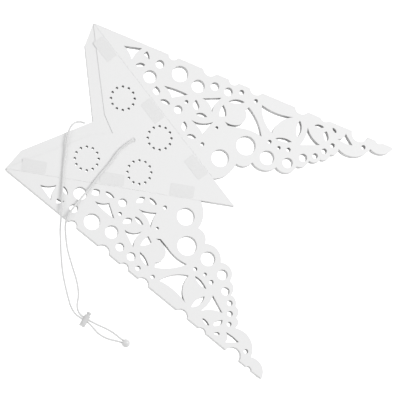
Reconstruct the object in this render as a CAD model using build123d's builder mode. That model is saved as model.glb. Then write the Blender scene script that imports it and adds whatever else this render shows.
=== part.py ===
from build123d import *
import math
import os

# Fold-flat paper star lampshade, folded flat. Millimetres.
# +X points from the spine to the tips, +Y along the spine to the upper arm, +Z up through the stack.
# Each star point has a left and a right ply. Every ply is an arrowhead with two lace wings on its creases.
# The arrowheads of neighbouring points are glued in pairs, and the wings of one point meet at its ridges.

# ---- driving dimensions ----
points = 9
ply = 0.35
ply_gap = 0.3
half_spine = 92.0
tooth_reach = 229.8
ridge_length = 350.0
ridge_angle = 8.6
crease_length = 210.4
crease_gap = 0.5
open_crease_gap = 0.75

top_notch_depth = 78.2
top_notch_kink = (60.6, 12.8)
inner_notch_depth = 53.8
inner_notch_corner = (4.3, 66.8)

pinhole_radius = 1.4
pinhole_ring_radius = 12.7
pinholes_in_ring = 12
pinhole_rings = [(68.3, 38.0), (123.6, 21.5)]
hang_hole_radius = 2.6
hang_hole = (100.3, 4.8)

pad_length = 26.0
pad_width = 13.0
pad_thickness = 0.25
pad_inset = 7.5
pad_places = [29.8, 113.3, 189.0]

cord_diameter = 2.2
barrel_diameter = 6.6
barrel_length = 13.0
barrel_wall = 1.0
plunger_clearance = 0.1
plunger_travel = 2.0
plunger_wall = 1.0
plunger_lip = 0.55
mouth_margin = 0.2
joint_overlap = 0.1
plunger_head_length = 4.0
cord_slot_clearance = 0.3
spring_wire = 0.4
spring_clearance = 0.35
spring_end_room = 0.05
spring_turns = 4
bead_diameter = 9.3
bead_bore_radius = 2.6
bead_bore_depth = 4.0
knot_room = 0.15
lock_place = (154.3, -185.0)
bead_place = (203.6, -185.0)

# ---- derived sizes ----
pitch = ply + ply_gap
levels = 2 * points
stack_top = (levels - 1) * pitch + ply
reach = ridge_length * math.cos(math.radians(ridge_angle))
spine_x = -reach / 2
crease_angle = math.degrees(math.atan2(half_spine, tooth_reach))
wing_angle = crease_angle + ridge_angle
tube_radius = cord_diameter / 2

# ---- lace, in wing measures: along the ridge from the spine corner, and in from the ridge ----
round_holes = [
    (82.5, 13.5, 4.5), (106.4, 14.9, 8.7), (129.3, 19.7, 7.0), (146.1, 12.9, 4.5),
    (161.7, 12.6, 4.6), (175.1, 7.6, 2.7), (192.8, 10.4, 2.2), (77.7, 30.3, 7.0),
    (179.8, 83.0, 9.4), (200.5, 59.6, 10.4), (226.4, 63.0, 7.7), (249.0, 59.6, 5.5),
    (262.5, 47.9, 4.3), (273.9, 41.0, 2.9), (281.2, 32.3, 2.9), (287.3, 23.1, 2.5),
    (319.2, 11.9, 2.4), (222.7, 45.8, 2.1), (234.3, 48.0, 1.9), (244.7, 45.9, 2.3),
    (164.3, 53.8, 1.6), (156.5, 76.4, 2.1), (123.9, 40.4, 2.0), (118.7, 51.6, 4.5),
]
ridge_bites = [
    (92.6, -1.3, 5.2), (135.1, -3.1, 7.9), (163.0, -1.9, 5.6), (188.9, -3.0, 7.4),
    (242.0, -3.1, 7.7), (269.4, -3.3, 5.6), (310.7, -0.9, 9.1), (332.8, -2.7, 4.4),
]
# each cutout is a ring of corners; the third value is how far the edge after the corner bulges out
cutouts = [
    [(39.2, 10.2, 0), (58.4, 5.1, -1.5), (52.7, 21.0, -1.5)],
    [(62.6, 10.7, 0.5), (64.7, 5.9, 1.0), (70.1, 13.5, -0.8)],
    [(58.7, 24.9, 2.6), (68.3, 20.6, 1.8)],
    [(86.1, 43.6, 0.6), (87.7, 37.3, 0.6), (93.7, 41.0, 0.6), (91.7, 46.1, 0.6)],
    [(94.8, 33.8, 1.0), (122.4, 32.6, 0), (107.8, 42.1, -1.5)],
    [(97.0, 49.4, 2.8), (108.6, 50.0, 1.6)],
    [(131.8, 41.5, 0.6), (132.6, 34.3, 0.6), (138.7, 40.2, 0.6), (137.1, 44.3, 0.6)],
    [(138.1, 48.7, 2.8), (150.4, 47.2, 1.4)],
    [(138.2, 30.3, 0), (157.1, 21.7, -2.0), (153.5, 40.7, -3.0)],
    [(135.9, 56.8, -2.6), (158.3, 49.8, -0.8), (153.1, 66.1, -1.0)],
    [(128.9, 68.0, 0.5), (129.5, 60.8, 0.5), (134.3, 64.7, 0.5), (133.5, 70.9, 0.5)],
    [(137.4, 74.2, 2.8), (148.0, 73.1, 1.5)],
    [(165.7, 22.3, 2.6), (182.1, 16.4, 1.8)],
    [(162.1, 41.2, 1.0), (161.9, 28.0, 1.2), (169.0, 38.2, 0)],
    [(170.0, 44.2, -1.2), (183.2, 43.0, -5.2), (185.9, 24.1, 0), (188.3, 19.6, 2.5),
     (212.5, 44.0, -2.0), (185.5, 44.9, 0), (174.3, 47.2, 0)],
    [(200.6, 11.8, -2.6), (237.0, 10.9, -4.6), (221.6, 35.8, 3.4)],
    [(244.8, 11.6, 3.2), (248.6, 29.4, 2.4)],
    [(227.0, 40.0, 2.4), (245.0, 36.8, 1.7)],
    [(255.2, 15.2, -2.2), (274.3, 27.9, 0), (254.8, 36.0, -1.8)],
    [(261.2, 10.1, 1.9), (271.7, 8.3, 1.4)],
    [(273.8, 14.8, 0.5), (275.9, 11.2, 0.5), (280.6, 17.5, 0.5), (279.0, 22.0, 0.5)],
    [(280.4, 5.1, 0.4), (284.2, 5.6, 0.4), (286.2, 8.5, 0.4), (283.3, 8.8, 0.4)],
    [(296.1, 5.6, 0), (307.4, 14.6, 0.9), (289.9, 14.3, -2.2)],
]
# the free edge from the crease's end to the tip: a point on each lobe, and the notch after it
free_edge = [
    ((194.3, 95.1), (198.1, 82.0)), ((206.8, 81.5), (213.7, 73.9)),
    ((227.5, 77.3), (239.4, 68.8)), ((252.6, 69.9), (259.6, 59.4)),
    ((266.2, 57.0), (269.6, 48.6)), ((276.1, 47.9), (280.9, 42.4)),
    ((286.7, 40.3), (288.7, 33.4)), ((294.0, 30.6), (294.9, 24.1)),
    ((311.0, 26.3), (327.1, 10.7)), ((340.5, 11.4), (350.0, 0.0)),
]

# ---- the cord's two strands, chosen by hand: distance from the spine, sideways place, height ----
hole_strand = [
    (100.3, 4.8, 11.95), (98.9, 2.6, 13.7), (96.6, -2.8, 13.4), (92.6, -14.0, 13.1),
    (92.0, -29.0, 13.1), (88.6, -47.0, 13.1), (87.1, -64.0, 13.1), (84.4, -80.0, 13.3),
    (82.6, -93.0, 14.6), (82.4, -102.0, 15.6), (84.0, -109.0, 13.0), (87.0, -113.8, 7.4),
    (90.6, -118.2, 2.4), (95.4, -124.8, 1.15), (102.6, -133.2, 1.15), (113.8, -143.4, 1.15),
    (126.5, -154.8, 1.15), (135.6, -166.6, 1.15), (138.6, -176.4, 1.4), (144.2, -182.6, 2.8),
    (150.0, -183.8, 3.3), (159.2, -183.84, 3.3), (168.4, -183.2, 1.8), (179.4, -181.6, 1.15),
    (188.8, -182.0, 2.2), (196.4, -183.7, 4.4), (203.0, -183.85, 4.65),
]
notch_strand = [
    (47.4, -5.9, 9.4), (42.6, -6.7, 9.3), (38.4, -10.0, 10.2), (36.1, -16.6, 12.6),
    (37.4, -25.4, 14.4), (42.5, -37.4, 14.2), (50.4, -55.6, 13.2), (60.2, -75.2, 13.3),
    (69.4, -92.4, 14.4), (74.4, -101.6, 15.6), (77.6, -107.8, 13.4), (80.4, -112.8, 7.8),
    (83.6, -118.0, 2.6), (88.8, -125.6, 1.15), (95.0, -135.6, 1.15), (106.4, -152.0, 1.15),
    (115.6, -162.6, 1.15), (125.0, -172.4, 1.15), (133.8, -181.0, 1.4), (141.8, -185.6, 2.6),
    (149.8, -186.2, 3.3), (159.2, -186.16, 3.3), (167.2, -188.9, 1.8), (176.0, -191.2, 1.15),
    (187.0, -190.2, 2.0), (196.2, -186.9, 4.4), (203.0, -186.15, 4.65),
]
run_share = 0.45


def wing_point(along, inward):
    """Plan place of a point that lies along the ridge from the spine corner, and in from it."""
    turn = math.radians(ridge_angle)
    x = spine_x + along * math.cos(turn) + inward * math.sin(turn)
    y = half_spine + along * math.sin(turn) - inward * math.cos(turn)
    return (x, y)


def level_height(level):
    """Underside of a ply, counted from 0 at the bottom of the stack."""
    return level * pitch


def crease_point(along, inward):
    """Plan place of a point that lies along the upper crease, and in from it over the arrowhead."""
    turn = math.radians(crease_angle)
    x = spine_x + along * math.cos(turn) - inward * math.sin(turn)
    y = half_spine - along * math.sin(turn) - inward * math.cos(turn)
    return (x, y)


def curved_ring(corners):
    """Edges of a closed cutout whose sides bulge out or in by their third value."""
    places = [wing_point(along, inward) for along, inward, bulge in corners]
    area = sum(
        x1 * y2 - x2 * y1 for (x1, y1), (x2, y2) in zip(places, places[1:] + places[:1])
    )
    for number, (along, inward, bulge) in enumerate(corners):
        start = Vector(*places[number])
        end = Vector(*places[(number + 1) % len(places)])
        if bulge == 0:
            Line(start, end)
        else:
            side = (end - start).normalized().rotate(Axis.Z, -90 if area > 0 else 90)
            ThreePointArc(start, (start + end) / 2 + side * bulge, end)


def wing_sketch(gap):
    """The upper wing's lace, with a given gap between the crease line and its edge."""
    slope = math.radians(wing_angle)
    near = gap / math.sin(slope)
    end = (
        crease_length * math.cos(slope) + gap * math.sin(slope),
        crease_length * math.sin(slope) - gap * math.cos(slope),
    )
    with BuildSketch() as sketch:
        with BuildLine():
            Line(wing_point(near, 0), wing_point(*end))
            last = end
            for middle, corner in free_edge:
                ThreePointArc(wing_point(*last), wing_point(*middle), wing_point(*corner))
                last = corner
            Line(wing_point(*last), wing_point(near, 0))
        make_face()
        for along, inward, radius in ridge_bites + round_holes:
            with Locations(wing_point(along, inward)):
                Circle(radius, mode=Mode.SUBTRACT)
        for corners in cutouts:
            with BuildSketch(mode=Mode.SUBTRACT):
                with BuildLine():
                    curved_ring(corners)
                make_face()
    return sketch.sketch


def arrowhead_sketch(top):
    """An arrowhead ply: the top one has a deeper, kinked notch and the cord's hole."""
    slope = math.radians(crease_angle)
    inset = crease_gap / 2
    corner = half_spine - inset / math.cos(slope)
    tip = tooth_reach - inset / math.sin(slope)
    kink = top_notch_kink if top else inner_notch_corner
    depth = top_notch_depth if top else inner_notch_depth
    outline = [(0, corner), (tip, 0), (0, -corner), (kink[0], -kink[1]), (depth, 0), kink]
    with BuildSketch() as sketch:
        with BuildLine():
            Polyline(*[(spine_x + x, y) for x, y in outline], close=True)
        make_face()
        for x, y in pinhole_rings:
            for side in (1, -1):
                with Locations((spine_x + x, side * y)):
                    with PolarLocations(pinhole_ring_radius, pinholes_in_ring):
                        Circle(pinhole_radius, mode=Mode.SUBTRACT)
        if top:
            with Locations((spine_x + hang_hole[0], hang_hole[1])):
                Circle(hang_hole_radius, mode=Mode.SUBTRACT)
    return sketch.sketch


def write(part, name):
    part.label = name
    export_step(part, f"parts/{name}.step")


def strand_route(route):
    return [Vector(spine_x + x, y, z) for x, y, z in route]


def strand_radii(name, route):
    """Arc radii that each pair of runs allows, printed so that tight bends show."""
    radii = []
    for before, here, after in zip(route, route[1:], route[2:]):
        first = here - before
        second = after - here
        half_turn = math.radians(first.get_angle(second)) / 2
        radii.append(run_share * min(first.length, second.length) / math.tan(half_turn))
    print(name, "radii", [round(radius, 1) for radius in radii])
    return radii


os.makedirs("parts", exist_ok=True)

# ---- arrowheads: single plies at the bottom and top, glued pairs between them ----
inner_arrowhead = arrowhead_sketch(top=False)
top_arrowhead = arrowhead_sketch(top=True)
for number in range(points + 1):
    lowest = max(2 * number - 1, 0)
    highest = min(2 * number, levels - 1)
    with BuildPart() as arrowhead:
        with BuildSketch(Plane.XY.offset(level_height(lowest))):
            add(top_arrowhead if number == points else inner_arrowhead)
        extrude(amount=level_height(highest) + ply - level_height(lowest))
    write(arrowhead.part, f"arrowhead_{number + 1}")

# ---- lace wings: the right ply hangs on the arrowhead above, the left ply on the right one's ridge ----
right_wing = wing_sketch(crease_gap / 2)
left_wing = wing_sketch(open_crease_gap - crease_gap / 2)
for number in range(points):
    for hand, level, lace in (("left", 2 * number, left_wing), ("right", 2 * number + 1, right_wing)):
        for arm in ("upper", "lower"):
            with BuildPart() as wing:
                with BuildSketch(Plane.XY.offset(level_height(level))):
                    add(lace if arm == "upper" else mirror(lace, about=Plane.XZ, mode=Mode.PRIVATE))
                extrude(amount=ply)
            write(wing.part, f"point_{number + 1}_{arm}_{hand}_wing")

# ---- closing pads on the top ply, three along each crease ----
with BuildPart() as closing_pads:
    with BuildSketch(Plane.XY.offset(stack_top)):
        for along in pad_places:
            x, y = crease_point(along, pad_inset)
            for side in (1, -1):
                with Locations(Location((x, side * y, 0), (0, 0, -side * crease_angle))):
                    RectangleRounded(pad_length, pad_width, 1.5)
    extrude(amount=pad_thickness)
write(closing_pads.part, "closing_pads")

# ---- cord strands: straight runs joined by tangent arcs ----
for name, places in (("cord_hole_strand", hole_strand), ("cord_notch_strand", notch_strand)):
    route = strand_route(places)
    radii = strand_radii(name, route)
    with BuildPart() as strand:
        with BuildLine() as path:
            FilletPolyline(*route, radius=radii)
        with BuildSketch(Plane(origin=route[0], z_dir=route[1] - route[0])):
            Circle(tube_radius)
        sweep()
    section = math.pi * tube_radius**2
    length = path.wires()[0].length
    print(name, "length", round(length, 1), "volume share", round(strand.part.volume / section / length, 4))
    write(strand.part, name)

# ---- cord lock: a barrel, a sprung plunger and its spring, lying across both strands ----
lock_x = spine_x + lock_place[0]
lock_y = lock_place[1]
lock_z = barrel_diameter / 2
bore_radius = barrel_diameter / 2 - barrel_wall
plunger_radius = bore_radius - plunger_clearance
slot_length = 2 * cord_diameter + 2 * cord_slot_clearance
slot_height = cord_diameter + 2 * cord_slot_clearance
barrel_mouth = slot_length / 2 + plunger_travel + mouth_margin
barrel_back = barrel_mouth - barrel_length
spring_seat = barrel_back + barrel_wall
plunger_foot = -slot_length / 2 - plunger_wall
barrel_plane = Plane(origin=(lock_x, lock_y, lock_z), z_dir=(0, 1, 0), x_dir=(1, 0, 0))

with BuildPart() as lock_barrel:
    with BuildSketch(barrel_plane.offset(barrel_back)):
        Circle(barrel_diameter / 2)
    extrude(amount=barrel_length)
    fillet(lock_barrel.edges().filter_by(GeomType.CIRCLE), 0.45)
    with BuildSketch(barrel_plane.offset(spring_seat)):
        Circle(bore_radius)
    extrude(amount=barrel_length, mode=Mode.SUBTRACT)
    with Locations((lock_x, lock_y, lock_z)):
        Box(2 * barrel_diameter, slot_length, slot_height, mode=Mode.SUBTRACT)
write(lock_barrel.part, "lock_barrel")

with BuildPart() as lock_plunger:
    with BuildSketch(barrel_plane.offset(plunger_foot)):
        Circle(plunger_radius)
    extrude(amount=barrel_mouth + plunger_travel + joint_overlap - plunger_foot)
    with BuildSketch(barrel_plane.offset(barrel_mouth + plunger_travel)):
        Circle(plunger_radius + plunger_lip)
    extrude(amount=plunger_head_length - plunger_travel)
    fillet(lock_plunger.faces().sort_by(Axis.Y)[-1].edges(), 0.7)
    with Locations((lock_x, lock_y + plunger_travel / 2, lock_z)):
        Box(2 * barrel_diameter, slot_length + plunger_travel, slot_height, mode=Mode.SUBTRACT)
write(lock_plunger.part, "lock_plunger")

spring_length = plunger_foot - spring_seat
coil_rise = spring_length - spring_wire - 2 * spring_end_room
coil_plane = barrel_plane.offset(spring_seat + spring_wire / 2 + spring_end_room)
coil_radius = bore_radius - spring_wire / 2 - spring_clearance
with BuildPart() as lock_spring:
    with BuildLine() as coil:
        Helix(coil_rise / spring_turns, coil_rise, coil_radius)
    with BuildSketch(Plane(origin=coil.line @ 0, z_dir=coil.line % 0)):
        Circle(spring_wire / 2)
    sweep(path=coil.line)
lock_spring.part.locate(coil_plane.location)
write(lock_spring.part, "lock_spring")

# ---- end bead: a turned ball with a blind bore that holds both knotted ends ----
bead_centre = (spine_x + bead_place[0], bead_place[1], bead_diameter / 2)
with BuildPart() as end_bead:
    with Locations(bead_centre):
        Sphere(bead_diameter / 2)
    bore_end = bead_centre[0] - bead_diameter / 2 + bead_bore_depth + knot_room
    with BuildSketch(Plane(origin=(bore_end, bead_centre[1], bead_centre[2]), z_dir=(-1, 0, 0))):
        Circle(bead_bore_radius)
    extrude(amount=bead_diameter, mode=Mode.SUBTRACT)
write(end_bead.part, "end_bead")
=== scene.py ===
# %% [markdown]
# # A fold-flat paper star, folded flat
# The star is a stack of thin white card. Each point of the star has a left and a right ply, and every ply is
# a plain arrowhead with a lace wing on each of its two creases. The CAD frame already holds every ply with
# all of its cut-outs, so this script keeps those plies and gives them the look of card. It adds what card
# does at a fold, the limp hanging cord, and the finish of the small plastic pieces on it.

# %% Load the frame
import math

import bpy
from mathutils import Matrix, Vector


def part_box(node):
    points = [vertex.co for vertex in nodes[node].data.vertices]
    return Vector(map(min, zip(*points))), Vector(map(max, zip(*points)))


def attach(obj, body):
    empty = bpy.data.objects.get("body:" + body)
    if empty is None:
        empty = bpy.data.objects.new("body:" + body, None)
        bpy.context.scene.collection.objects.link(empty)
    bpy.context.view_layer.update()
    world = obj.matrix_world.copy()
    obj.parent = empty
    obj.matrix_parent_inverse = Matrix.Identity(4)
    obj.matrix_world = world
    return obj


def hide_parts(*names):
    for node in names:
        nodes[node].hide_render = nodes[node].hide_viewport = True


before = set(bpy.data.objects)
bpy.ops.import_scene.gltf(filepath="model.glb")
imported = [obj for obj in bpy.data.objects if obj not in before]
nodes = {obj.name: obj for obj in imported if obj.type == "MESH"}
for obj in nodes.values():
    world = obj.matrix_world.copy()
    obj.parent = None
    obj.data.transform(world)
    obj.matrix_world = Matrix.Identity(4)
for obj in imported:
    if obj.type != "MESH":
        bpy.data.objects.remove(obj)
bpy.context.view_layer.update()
MM = 0.001

# %% [markdown]
# ## Measures taken from the frame
# The plies' own boxes say how thick the card is, how far apart the plies lie and where the spine is. The two
# angles and the lace bites along the ridge are the star's cutting pattern, the same on every ply. A bite is
# given by its centre along the ridge, its centre's distance inward, and its radius, in millimetres.

# %% The star's measures
points = sum(name.startswith("arrowhead_") for name in nodes) - 1
bottom_ply, top_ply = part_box("arrowhead_1"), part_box(f"arrowhead_{points + 1}")
ply = bottom_ply[1][2] - bottom_ply[0][2]
stack_top = top_ply[1][2]
pitch = (stack_top - ply) / (2 * points - 1)
spine_x = bottom_ply[0][0]
half_spine = 92.0 * MM
tooth_reach = 229.8 * MM
ridge_angle = math.radians(8.6)
crease_angle = math.atan2(half_spine, tooth_reach)
crease_length = 210.4 * MM
ridge_roll_ends = (2.2, 347.0)
ridge_bites = [
    (92.6, -1.3, 5.2), (135.1, -3.1, 7.9), (163.0, -1.9, 5.6), (188.9, -3.0, 7.4),
    (242.0, -3.1, 7.7), (269.4, -3.3, 5.6), (310.7, -0.9, 9.1), (332.8, -2.7, 4.4),
]
print("points:", points, "ply:", round(ply / MM, 2), "mm, pitch:", round(pitch / MM, 2), "mm")

# %% [markdown]
# ## Camera and light
# The camera comes first, because every later choice is judged through it. A long lens from far away keeps
# the folded star almost free of perspective. It stands a little to one side of straight above, so that the
# cut edges of the lace show as thin walls. White card could be lit by one small hard lamp, by a bright
# surround alone, or by large soft lamps with a surround. The last is used, because it keeps the card pale
# but leaves it enough shade to read its folds by.

# %% Make the camera
across = Vector((0.855, 0.518, 0.0))
upward = Vector((-0.518, 0.855, 0.0))
lean = math.radians(11.0)
aim = Vector((spine_x + 194.2 * MM, -13.6 * MM, stack_top))
frame_width = 425.6 * MM
camera_distance = 2.6
sensor_width = 36.0
toward_camera = Vector((0, 0, 1)) * math.cos(lean) - (across + upward).normalized() * math.sin(lean)
camera_right = (across - toward_camera * across.dot(toward_camera)).normalized()
camera_up = toward_camera.cross(camera_right)

bpy.ops.object.camera_add(location=aim + toward_camera * camera_distance)
camera = bpy.context.active_object
camera.name = "studio_camera"
camera.rotation_mode = "QUATERNION"
camera.rotation_quaternion = Matrix((camera_right, camera_up, toward_camera)).transposed().to_quaternion()
camera.data.sensor_width = sensor_width
camera.data.lens = sensor_width * camera_distance / frame_width
camera.data.clip_start, camera.data.clip_end = 0.05, 50.0
bpy.context.scene.camera = camera
print("lens:", round(camera.data.lens, 1), "mm at", camera_distance, "m")


# %% Light the studio
def soft_lamp(name, place, size, power):
    """Adds a square soft lamp that faces the middle of the star."""
    bpy.ops.object.light_add(type="AREA", location=place)
    lamp = bpy.context.active_object
    lamp.name = name
    lamp.data.size = size
    lamp.data.energy = power
    lamp.rotation_mode = "QUATERNION"
    lamp.rotation_quaternion = Vector(place).to_track_quat("Z", "Y")


world = bpy.data.worlds.new("white_surround")
world.use_nodes = True
world.node_tree.nodes["Background"].inputs["Color"].default_value = (1.0, 1.0, 1.0, 1.0)
world.node_tree.nodes["Background"].inputs["Strength"].default_value = 0.55
bpy.context.scene.world = world
soft_lamp("key_lamp", (0.9, 0.9, 1.6), 1.2, 20.0)
soft_lamp("fill_lamp", (-1.1, -0.6, 1.4), 1.6, 6.0)
bpy.context.scene.view_settings.view_transform = "Standard"

# %% [markdown]
# ## A small language for shaders
# A material is a web of nodes. Building one by hand in code is long, so a socket is wrapped in a class whose
# plus, minus and times signs add the Math nodes. One method adds any other kind of node.


# %% The socket wrapper
class Wire:
    """An output socket that can be used in sums."""

    def __init__(self, tree, socket):
        self.tree = tree
        self.socket = socket

    def _math(self, operation, first, second):
        node = self.tree.nodes.new("ShaderNodeMath")
        node.operation = operation
        for number, value in enumerate((first, second)):
            if isinstance(value, Wire):
                self.tree.links.new(value.socket, node.inputs[number])
            else:
                node.inputs[number].default_value = value
        return Wire(self.tree, node.outputs[0])

    def __add__(self, other):
        return self._math("ADD", self, other)

    def __sub__(self, other):
        return self._math("SUBTRACT", self, other)

    def __mul__(self, other):
        return self._math("MULTIPLY", self, other)

    def __radd__(self, other):
        return self._math("ADD", other, self)

    def __rsub__(self, other):
        return self._math("SUBTRACT", other, self)

    def __rmul__(self, other):
        return self._math("MULTIPLY", other, self)

    def above(self, limit):
        return self._math("GREATER_THAN", self, limit)

    def size(self):
        return self._math("ABSOLUTE", self, 0.0)


class Finish:
    """One material, with its shader and a method that adds nodes."""

    def __init__(self, name, roughness, base=(0.8, 0.8, 0.8)):
        self.material = bpy.data.materials.new(name)
        self.material.use_nodes = True
        self.tree = self.material.node_tree
        self.shader = self.tree.nodes["Principled BSDF"]
        self.shader.inputs["Base Color"].default_value = (*base, 1.0)
        self.shader.inputs["Roughness"].default_value = roughness

    def node(self, kind, settings=None, values=None, output=0):
        """Adds a node, sets it up, fills its inputs, and gives one of its outputs."""
        node = self.tree.nodes.new(kind)
        for key, value in (settings or {}).items():
            setattr(node, key, value)
        for key, value in (values or {}).items():
            if isinstance(value, Wire):
                self.tree.links.new(value.socket, node.inputs[key])
            else:
                node.inputs[key].default_value = value
        return Wire(self.tree, node.outputs[output])

    def link(self, wire, socket):
        self.tree.links.new(wire.socket, self.shader.inputs[socket])

    def place(self):
        return self.node("ShaderNodeTexCoord", output="Object")

    def bump(self, height, distance, strength=1.0, under=None):
        values = {"Height": height, "Distance": distance, "Strength": strength}
        if under is not None:
            values["Normal"] = under
        return self.node("ShaderNodeBump", values=values)


def dress(piece, *finishes):
    """Gives a piece its finishes in place of whatever it had."""
    piece.data.materials.clear()
    for finish in finishes:
        piece.data.materials.append(finish.material)


# %% [markdown]
# ## White card
# The star is cut from uncoated white card. Close up, such card is a felt of short fibres: its colour is
# clouded very slightly, and its surface scatters light softly. Its cut edges are painted a darker grey, as
# painted shade for the shade that falls on the card's thin cut walls. The faces and the edges could have a
# material each, but a CAD mesh is left as it came. So one finish does for a whole ply: fine noise makes the
# fibres, wide noise makes the cloud, and the direction that a face points in picks out the cut edges.

# %% The card's finish
card_white = (0.875, 0.875, 0.875)
card_shade = (0.845, 0.845, 0.846)
# painted shade: the grey given to the cut edges, standing in for the shade that falls on them
painted_edge_shade = (0.68, 0.68, 0.68)


def card_finish():
    card = Finish("white_card", 0.9)
    place = card.place()
    cloud = card.node("ShaderNodeTexNoise", values={"Vector": place, "Scale": 14.0, "Detail": 4.0})
    fibre = card.node("ShaderNodeTexNoise", values={"Vector": place, "Scale": 900.0, "Detail": 3.0})
    fleck = card.node("ShaderNodeTexVoronoi", values={"Vector": place, "Scale": 420.0})
    mottle = cloud * 0.7 + fibre * 0.3
    face = card.node(
        "ShaderNodeMix", {"data_type": "RGBA"}, {6: (*card_shade, 1.0), 7: (*card_white, 1.0), 0: mottle}, 2
    )
    facing = card.node("ShaderNodeTexCoord", output="Normal")
    upright = card.node("ShaderNodeSeparateXYZ", values={"Vector": facing}, output="Z")
    # Faces that point sideways, the cut edges, are mixed towards that grey as painted shade.
    edge = 1 - upright.size().above(0.5)
    colour = card.node(
        "ShaderNodeMix", {"data_type": "RGBA"}, {6: face, 7: (*painted_edge_shade, 1.0), 0: edge * 0.85}, 2
    )
    card.link(colour, "Base Color")
    card.link(0.86 + fibre * 0.1 + edge * 0.04, "Roughness")
    felt = card.bump(fibre * 0.7 + fleck * 0.3, 0.00004, 0.5)
    card.link(card.bump(cloud, 0.0006, 0.25, under=felt), "Normal")
    card.shader.inputs["Specular IOR Level"].default_value = 0.25
    return card


card = card_finish()
for name, node in nodes.items():
    if name.startswith(("arrowhead_", "point_")):
        dress(node, card)
print("plies of card:", sum(name.startswith(("arrowhead_", "point_")) for name in nodes))

# %% [markdown]
# ## Folds
# Card doesn't end at a fold: it rolls round it. The CAD leaves a hair's gap along each crease so that the
# wing can turn, and leaves the two plies of a point apart along their ridge. The fold could be a flat strip,
# or one sheet bent over an angle, but neither follows the hinge as the star is opened. A thin roll on the
# hinge's own line looks the same at every angle, so that is what closes each fold. The ridge's roll stops at
# each bite of the lace. One set of rolls is modelled and copied up the stack, each copy with its own mesh.


# %% Make rolled folds
roll_sides = 10
end_rounding = 0.6
smooth_under = math.radians(50)


def deselect():
    for thing in bpy.context.selected_objects:
        thing.select_set(False)


def roll(start, end, radius):
    """A slim roll of card with rounded ends from one point to another, with its place in its mesh."""
    start, end = Vector(start), Vector(end)
    along = end - start
    deselect()
    bpy.ops.mesh.primitive_cylinder_add(
        vertices=roll_sides, radius=radius, depth=along.length, location=(start + end) / 2,
        rotation=along.to_track_quat("Z", "Y").to_euler(),
    )
    piece = bpy.context.active_object
    bpy.ops.object.transform_apply(location=True, rotation=True, scale=True)
    bpy.ops.object.mode_set(mode="EDIT")
    bpy.ops.mesh.select_mode(type="FACE")
    bpy.ops.mesh.select_all(action="DESELECT")
    bpy.ops.object.mode_set(mode="OBJECT")
    for face in piece.data.polygons:
        face.select = len(face.vertices) == roll_sides
    bpy.ops.object.mode_set(mode="EDIT")
    bpy.ops.mesh.bevel(offset=radius * end_rounding, segments=2, affect="EDGES")
    bpy.ops.object.mode_set(mode="OBJECT")
    bpy.ops.object.shade_smooth_by_angle(angle=smooth_under)
    return piece


def raised(piece, height):
    """A copy of a piece, with its own mesh, at a height."""
    copy = piece.copy()
    copy.data = piece.data.copy()
    copy.data.transform(Matrix.Translation((0, 0, height)))
    bpy.context.collection.objects.link(copy)
    return copy


def joined(pieces, name):
    """Several pieces as one, under a new name."""
    deselect()
    for piece in pieces:
        piece.select_set(True)
    bpy.context.view_layer.objects.active = pieces[0]
    if len(pieces) > 1:
        bpy.ops.object.join()
    result = bpy.context.active_object
    result.name = name
    deselect()
    return result


def finish_fold(piece, body):
    dress(piece, card)
    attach(piece, body)


def fold_place(along, side, angle):
    """A point on a fold at a distance from the star's outer corner, on one side, at height zero."""
    return (spine_x + along * math.cos(angle), side * (half_spine + along * math.sin(angle)), 0.0)


crease_radius = 0.255 * MM
ridge_radius = (pitch + ply) / 2
roll_start = 1.5 * MM
crease_rolls = []
for side in (1, -1):
    start = fold_place(roll_start, side, -crease_angle)
    crease_rolls.append(roll(start, fold_place(crease_length, side, -crease_angle), crease_radius))
crease_pair = joined(crease_rolls, "crease_pair")
for leaf in range(points + 1):
    levels = sorted({max(2 * leaf - 1, 0), min(2 * leaf, 2 * points - 1)})
    copies = [raised(crease_pair, level * pitch + ply / 2) for level in levels]
    finish_fold(joined(copies, f"creases_{leaf + 1}"), f"leaf_{leaf + 1}")
bpy.data.objects.remove(crease_pair)
print("creases rolled on", points + 1, "leaves")

# %% Roll the ridges between the bites
spans, reached = [], ridge_roll_ends[0]
for along, inward, radius in ridge_bites:
    half_chord = math.sqrt(radius**2 - inward**2)
    spans.append((reached, along - half_chord))
    reached = along + half_chord
spans.append((reached, ridge_roll_ends[1]))
for arm, side in (("upper", 1), ("lower", -1)):
    ridge_rolls = []
    for span in spans:
        start, end = (fold_place(along * MM, side, ridge_angle) for along in span)
        ridge_rolls.append(roll(start, end, ridge_radius))
    ridge = joined(ridge_rolls, "ridge")
    for point in range(points):
        copy = raised(ridge, 2 * point * pitch + ridge_radius)
        finish_fold(joined([copy], f"ridge_{point + 1}_{arm}"), f"point_{point + 1}_{arm}_right")
    bpy.data.objects.remove(ridge)
print("ridge spans in mm:", [(round(start, 1), round(end, 1)) for start, end in spans])
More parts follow.
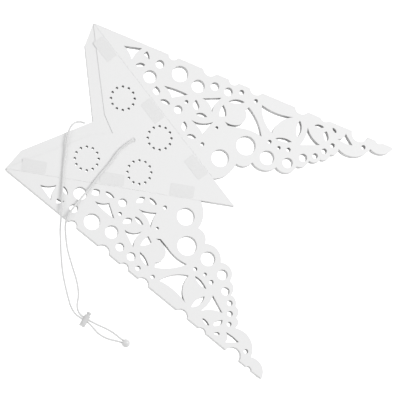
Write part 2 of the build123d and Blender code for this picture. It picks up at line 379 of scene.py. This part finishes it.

# %% [markdown]
# ## The hanging cord
# One limp white cord runs through a hole in the top ply, so it comes off the star in two strands. Both go
# down over the ridge to the table, through the cord lock and into the end bead. A cord could be a chain of
# short tubes or a drawn mesh. A NURBS curve is smoother than either and bends no more sharply than its points
# do, so each strand is one curve on the same listed points as its CAD tube, with a round bevel. Its
# plait is drawn along the curve's own UV map: where two slanting sets of ribs cross, the yarn stands up.

# %% Lay the two strands
hole_route = [
    (100.3, 4.8, 11.95), (98.9, 2.6, 13.7), (96.6, -2.8, 13.4), (92.6, -14.0, 13.1),
    (92.0, -29.0, 13.1), (88.6, -47.0, 13.1), (87.1, -64.0, 13.1), (84.4, -80.0, 13.3),
    (82.6, -93.0, 14.6), (82.4, -102.0, 15.6), (84.0, -109.0, 13.0), (87.0, -113.8, 7.4),
    (90.6, -118.2, 2.4), (95.4, -124.8, 1.15), (102.6, -133.2, 1.15), (113.8, -143.4, 1.15),
    (126.5, -154.8, 1.15), (135.6, -166.6, 1.15), (138.6, -176.4, 1.4), (144.2, -182.6, 2.8),
    (150.0, -183.8, 3.3), (159.2, -183.84, 3.3), (168.4, -183.2, 1.8), (179.4, -181.6, 1.15),
    (188.8, -182.0, 2.2), (196.4, -183.7, 4.4), (203.0, -183.85, 4.65),
]
notch_route = [
    (47.4, -5.9, 9.4), (42.6, -6.7, 9.3), (38.4, -10.0, 10.2), (36.1, -16.6, 12.6),
    (37.4, -25.4, 14.4), (42.5, -37.4, 14.2), (50.4, -55.6, 13.2), (60.2, -75.2, 13.3),
    (69.4, -92.4, 14.4), (74.4, -101.6, 15.6), (77.6, -107.8, 13.4), (80.4, -112.8, 7.8),
    (83.6, -118.0, 2.6), (88.8, -125.6, 1.15), (95.0, -135.6, 1.15), (106.4, -152.0, 1.15),
    (115.6, -162.6, 1.15), (125.0, -172.4, 1.15), (133.8, -181.0, 1.4), (141.8, -185.6, 2.6),
    (149.8, -186.2, 3.3), (159.2, -186.16, 3.3), (167.2, -188.9, 1.8), (176.0, -191.2, 1.15),
    (187.0, -190.2, 2.0), (196.2, -186.9, 4.4), (203.0, -186.15, 4.65),
]
cord_radius = 1.1 * MM


def cord_curve(name, route):
    """A smooth open curve with the route's points as its control points."""
    curve = bpy.data.curves.new(name, "CURVE")
    curve.dimensions = "3D"
    spline = curve.splines.new("NURBS")
    spline.points.add(len(route) - 1)
    for point, (x, y, z) in zip(spline.points, route):
        point.co = (spine_x + x * MM, y * MM, z * MM, 1.0)
    spline.order_u = 3
    spline.use_endpoint_u = True
    spline.resolution_u = 8
    curve.bevel_depth = cord_radius
    curve.bevel_resolution = 4
    curve.use_fill_caps = True
    piece = bpy.data.objects.new(name, curve)
    bpy.context.collection.objects.link(piece)
    return piece


def cord_finish():
    """A fine plait: two crossing sets of slanting ribs round the cord, with painted shade in the valleys
    between them.
    """
    cord = Finish("braided_cord", 0.85)
    place = cord.node("ShaderNodeTexCoord", output="UV")
    along = cord.node("ShaderNodeSeparateXYZ", values={"Vector": place}, output="X")
    around = cord.node("ShaderNodeSeparateXYZ", values={"Vector": place}, output="Y")
    ribs = 230
    starts = 4
    lengthwise = along * (ribs * math.tau)
    crosswise = around * (starts * math.tau)
    left = cord.node("ShaderNodeMath", {"operation": "SINE"}, {0: lengthwise + crosswise})
    right = cord.node("ShaderNodeMath", {"operation": "SINE"}, {0: lengthwise - crosswise})
    plait = (left * right) * 0.5 + 0.5
    # The plait's valleys get a darker grey than its ribs: painted shade in the hollows of the plait.
    painted_valley_shade, rib = (0.68, 0.68, 0.68, 1.0), (0.84, 0.84, 0.84, 1.0)
    colour = cord.node("ShaderNodeMix", {"data_type": "RGBA"}, {6: painted_valley_shade, 7: rib, 0: plait}, 2)
    cord.link(colour, "Base Color")
    cord.link(cord.bump(plait, 0.0001, 0.5), "Normal")
    cord.shader.inputs["Sheen Weight"].default_value = 0.3
    return cord


cord_cover = cord_finish()
for name, route, node, length in (
    ("hole_side_cord", hole_route, "cord_hole_strand", 0.2765),
    ("notch_side_cord", notch_route, "cord_notch_strand", 0.287),
):
    strand = cord_curve(name, route)
    strand.data.materials.append(cord_cover.material)
    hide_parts(node)
    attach(strand, f"leaf_{points + 1}")
    print(name, "runs over", len(route), "points")

# %% [markdown]
# ## Small pieces on the cord and the pads
# The cord lock is moulded in a grey-white plastic, and the bead is glossier. The CAD solids already have
# their real shapes, down to the lock's button and its spring, so they only need finishes. Moulded plastic is
# never quite even, and a little noise in its colour and roughness says so without a picture. The closing pads
# are a thin hook fabric: cells of tiny bumps in a slightly greyer white. The spring is bright drawn wire.


# %% Plastic, hook fabric and wire
def plastic_finish(name, light, dark, roughness, coat):
    plastic = Finish(name, roughness)
    place = plastic.place()
    grain = plastic.node("ShaderNodeTexNoise", values={"Vector": place, "Scale": 2200.0, "Detail": 2.0})
    cloud = plastic.node("ShaderNodeTexNoise", values={"Vector": place, "Scale": 180.0, "Detail": 3.0})
    shades = {6: (*dark, 1.0), 7: (*light, 1.0), 0: cloud}
    colour = plastic.node("ShaderNodeMix", {"data_type": "RGBA"}, shades, 2)
    plastic.link(colour, "Base Color")
    plastic.link(roughness + grain * 0.12, "Roughness")
    plastic.link(plastic.bump(grain, 0.00002, 0.4), "Normal")
    plastic.shader.inputs["Coat Weight"].default_value = coat
    return plastic


def hook_finish():
    hook = Finish("hook_fabric", 0.95)
    place = hook.place()
    cells = hook.node("ShaderNodeTexVoronoi", values={"Vector": place, "Scale": 1500.0})
    weave = hook.node("ShaderNodeTexNoise", values={"Vector": place, "Scale": 260.0, "Detail": 3.0})
    colour = hook.node(
        "ShaderNodeMix", {"data_type": "RGBA"},
        {6: (0.78, 0.78, 0.78, 1.0), 7: (0.85, 0.85, 0.85, 1.0), 0: cells * 0.6 + weave * 0.4}, 2,
    )
    hook.link(colour, "Base Color")
    hook.link(hook.bump(1 - cells, 0.0002, 0.7), "Normal")
    return hook


def wire_finish():
    wire = Finish("spring_wire", 0.3, (0.62, 0.62, 0.64))
    drawn = wire.node("ShaderNodeTexNoise", values={"Vector": wire.place(), "Scale": 3000.0, "Detail": 2.0})
    wire.link(0.22 + drawn * 0.2, "Roughness")
    wire.shader.inputs["Metallic"].default_value = 1.0
    return wire


lock_plastic = plastic_finish("lock_plastic", (0.70, 0.70, 0.70), (0.63, 0.63, 0.63), 0.38, 0.1)
plunger_plastic = plastic_finish("plunger_plastic", (0.74, 0.74, 0.74), (0.68, 0.68, 0.68), 0.35, 0.1)
bead_plastic = plastic_finish("bead_plastic", (0.78, 0.78, 0.78), (0.72, 0.72, 0.72), 0.25, 0.4)
dress(nodes["lock_barrel"], lock_plastic)
dress(nodes["lock_plunger"], plunger_plastic)
dress(nodes["end_bead"], bead_plastic)
dress(nodes["lock_spring"], wire_finish())
dress(nodes["closing_pads"], hook_finish())
print("finishes in all:", len(bpy.data.materials))

# %% [markdown]
# ## The floor
# The floor is a plain white sheet. It could touch the star, as a table would, but the star swings right round
# its spine as it opens and would go through it. So the floor lies well below. It glows a little, so that it
# stays white behind the card.

# %% Lay the floor
floor_drop = 0.42
deselect()
bpy.ops.mesh.primitive_plane_add(size=30.0, location=(0, 0, -floor_drop))
floor = bpy.context.active_object
floor.name = "studio_floor"
floor_white = Finish("floor_white", 0.9, (0.9, 0.9, 0.9))
floor_white.shader.inputs["Emission Color"].default_value = (1.0, 1.0, 1.0, 1.0)
floor_white.shader.inputs["Emission Strength"].default_value = 0.6
dress(floor, floor_white)
print("floor lies", round(floor_drop / MM), "mm below the star")
